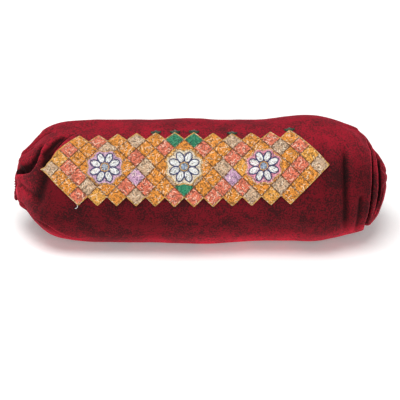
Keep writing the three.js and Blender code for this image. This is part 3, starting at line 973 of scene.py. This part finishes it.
def rosetteStitches(centre, ground):
    stitches = []
    low = rosetteLow + rosettes["thick"] * rosettes["stitchSeat"]
    petals = rosettes["petals"]

    def add(r, angle, turn, length, letter, lift):
        stitches.append((centre + r * math.cos(angle), r * math.sin(angle), low + lift, angle + turn,
                         length, rosettes["stitchWide"], rosettes["stitchHigh"], threadTone(letter)))

    for p, q in scatter(16, rosettes["step"], rosettes["rowStep"], rosettes["jitter"]):
        r, angle = math.hypot(p, q), math.atan2(q, p)
        if r > rosetteEdge(angle) - rosettes["edge"] or r < rosettes["eye"]:
            continue
        # petals sit on the edge's lobes
        inside = inPetal(r, (angle + math.pi) % (2 * math.pi / petals) - math.pi / petals)
        if inside < rosettes["petalTo"]:
            turn = chance.uniform(-rosettes["petalTurn"], rosettes["petalTurn"])
            add(r, angle, turn, rosettes["petalStitch"], "w", rosettes["petalLift"] * (1 - inside))
        elif inside > rosettes["groundFrom"]:
            turn = chance.uniform(0, math.pi)
            add(r, angle, turn, rosettes["groundLong"], ground, rosettes["groundLift"])
    for n in range(rosettes["spokes"]):
        angle = n * 2 * math.pi / rosettes["spokes"]
        add(rosettes["spokeAt"], angle, 0, rosettes["spokeLong"], "s", rosettes["spokeLift"])
    for n in range(rosettes["knots"]):
        angle = n * 2 * math.pi / rosettes["knots"]
        add(rosettes["knotAt"], angle, rosettes["knotTurn"], rosettes["knotLong"], "s", rosettes["knotLift"])
    turns = np.linspace(0, 2 * math.pi, 25)
    eye = [(centre + rosettes["eyeCordAt"] * math.cos(a), rosettes["eyeCordAt"] * math.sin(a)) for a in turns]
    stitches += cordAlong(eye, "G", low + rosettes["eyeCordLift"])
    for n in range(petals):
        line = petalLine(centre, (n + 0.5) * 2 * math.pi / petals - math.pi)
        stitches += cordAlong(line, "n", low + rosettes["petalCordLift"],
                              rosettes["petalCordWide"], rosettes["petalCordStep"])
    rim = []
    for a in np.linspace(0, 2 * math.pi, 97):
        reach = rosetteEdge(a) - rosettes["rimCordAt"]
        rim.append((centre + reach * math.cos(a), reach * math.sin(a)))
    return stitches + cordAlong(rim, "G", low + rosettes["rimCordLift"],
                                rosettes["rimCordWide"], rosettes["rimCordStep"])


for side, centre, ground in zip(("Left", "Centre", "Right"), rosetteCentres, rosettes["grounds"]):
    disc = finishPiece(rosetteBacking(centre, ground), "rosette" + side, backing)
    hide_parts("rosette_" + side.lower())
    stitchedPiece("rosetteStitches" + side, rosetteStitches(centre, ground))


print("studio")
studio = {
    "floor": "#f7f7f6", "floorSize": 6, "glow": 0.2, "world": 0.3,
    # name, place, size and watts of each light
    "lights": [
        ("topSoftbox", (-0.4, -0.6, 3.0), (2.4, 1.6), 90),
        ("frontSoftbox", (0.3, -1.8, 1.0), (1.2, 0.8), 5),
    ],
    "lightAim": (0, 0, 0.06),
    "distance": 2.2, "elevation": 30, "aim": (0.0006, 0.0, 0.0399),
    "frameWidth": 0.4949,  # metres of the scene across the picture
    "sensor": 36,
}


def pointAt(thing, target):
    thing.rotation_euler = (Vector(target) - thing.location).to_track_quat("-Z", "Y").to_euler()
    scene.collection.objects.link(thing)


def areaLight(name, place, size, power):
    data = bpy.data.lights.new(name, "AREA")
    data.shape = "RECTANGLE"
    data.size, data.size_y = size
    data.energy = power
    lamp = bpy.data.objects.new(name, data)
    lamp.location = place
    pointAt(lamp, studio["lightAim"])


def paperFloor():  # uncoated paper: matt white, so it takes a soft shadow and mirrors nothing
    bm = bmesh.new()
    bmesh.ops.create_grid(bm, x_segments=1, y_segments=1, size=studio["floorSize"])
    mesh = bpy.data.meshes.new("floor")
    bm.to_mesh(mesh)
    bm.free()
    floor = bpy.data.objects.new("floor", mesh)
    scene.collection.objects.link(floor)
    mesh.materials.append(newMaterial("mattPaper", {
        "Roughness": 0.9, "Base Color": linearColour(studio["floor"]),
        "Emission Color": (1, 1, 1, 1), "Emission Strength": studio["glow"]})[0])


def addWorld():
    world = bpy.data.worlds.new("studio")
    scene.world = world
    world.use_nodes = True
    sky = world.node_tree.nodes["Background"]
    sky.inputs["Color"].default_value = (1, 1, 1, 1)
    sky.inputs["Strength"].default_value = studio["world"]


def addCamera():
    camera = bpy.data.cameras.new("camera")
    camera.sensor_width = studio["sensor"]
    camera.lens = studio["sensor"] * studio["distance"] / studio["frameWidth"]
    camera.clip_start, camera.clip_end = 0.1, 20
    rig = bpy.data.objects.new("camera", camera)
    up = math.radians(studio["elevation"])
    rig.location = Vector(studio["aim"]) + Vector((0, -math.cos(up), math.sin(up))) * studio["distance"]
    pointAt(rig, studio["aim"])
    scene.camera = rig


paperFloor()
addWorld()
for light in studio["lights"]:
    areaLight(*light)
addCamera()
scene.view_settings.view_transform = "Standard"
